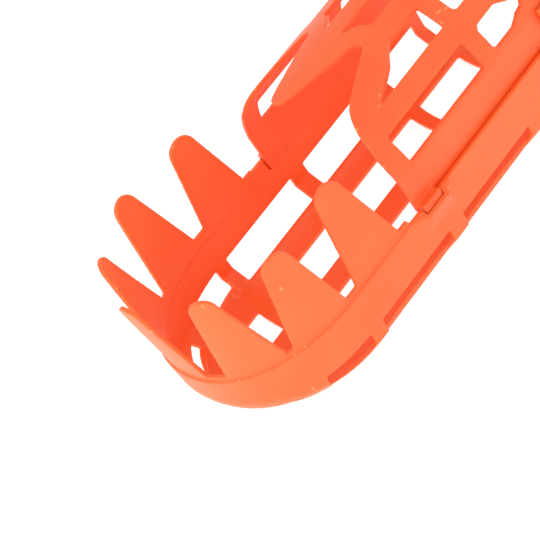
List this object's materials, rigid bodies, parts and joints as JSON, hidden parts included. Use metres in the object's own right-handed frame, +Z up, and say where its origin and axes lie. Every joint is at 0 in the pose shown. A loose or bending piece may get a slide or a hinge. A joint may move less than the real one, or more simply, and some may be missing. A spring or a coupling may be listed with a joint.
{
  "type": "basket muzzle",
  "caption": "Long open basket muzzle for a dog: a toothed lower tub, an arched upper cage that snaps into it, and a buckled neck strap.",
  "frame": {"origin": "centre of the underside's level, in the middle of the overall length and width", "axes": "+X towards the nose end, +Y towards the buckle side, +Z up"},
  "size_m": [0.3322, 0.105, 0.0872],
  "materials": {
    "basket_plastic": "semi-matte bright orange moulded polypropylene, slightly translucent",
    "cage_plastic": "semi-matte bright orange moulded polypropylene, slightly translucent",
    "webbing": "woven black nylon webbing, stitched",
    "plated_steel": "nickel plated",
    "keeper_plastic": "black moulded",
    "eyelet_brass": "rolled brass eyelets"
  },
  "bodies": {
    "basket": {"lower_basket": "basket_plastic"},
    "cage": {"upper_cage": "cage_plastic"},
    "buckle_strap": {"strap_buckle_side": "webbing", "rivet_buckle_side": "plated_steel"},
    "billet_strap": {"strap_billet_side": "webbing", "billet_eyelets": "eyelet_brass", "rivet_billet_side": "plated_steel"},
    "buckle": {"buckle_frame": "plated_steel"},
    "roller": {"buckle_roller": "plated_steel"},
    "pin": {"buckle_pin": "plated_steel"},
    "keeper": {"strap_keeper": "keeper_plastic"}
  },
  "joints": [
    {"name": "cage_lift", "type": "slide", "parent": "basket", "child": "cage", "axis": [0, 0, 1], "range_m": [0, 0.11]},
    {"name": "buckle_strap_swing", "type": "hinge", "parent": "basket", "child": "buckle_strap", "pos_m": [-0.05498, 0.0482, 0.0352], "axis": [0, 0, 1], "range_deg": [-70, 0]},
    {"name": "billet_strap_swing", "type": "hinge", "parent": "basket", "child": "billet_strap", "pos_m": [-0.05498, -0.0482, 0.0352], "axis": [0, 0, 1], "range_deg": [0, 70]},
    {"name": "buckle_swing", "type": "hinge", "parent": "buckle_strap", "child": "buckle", "pos_m": [-0.12805, 0.03871, 0.0352], "axis": [0, 0, 1], "range_deg": [-20, 60]},
    {"name": "pin_swing", "type": "hinge", "parent": "buckle", "child": "pin", "pos_m": [-0.12805, 0.03871, 0.0352], "axis": [0, 0, 1], "range_deg": [-100, 0]},
    {"name": "roller_spin", "type": "hinge", "parent": "buckle", "child": "roller", "pos_m": [-0.14306, 0.03073, 0.0352], "axis": [0, 0, 1], "continuous": true},
    {"name": "keeper_slide", "type": "slide", "parent": "buckle_strap", "child": "keeper", "axis": [1, 0, 0], "range_m": [-0.0035, 0.0025]}
  ]
}
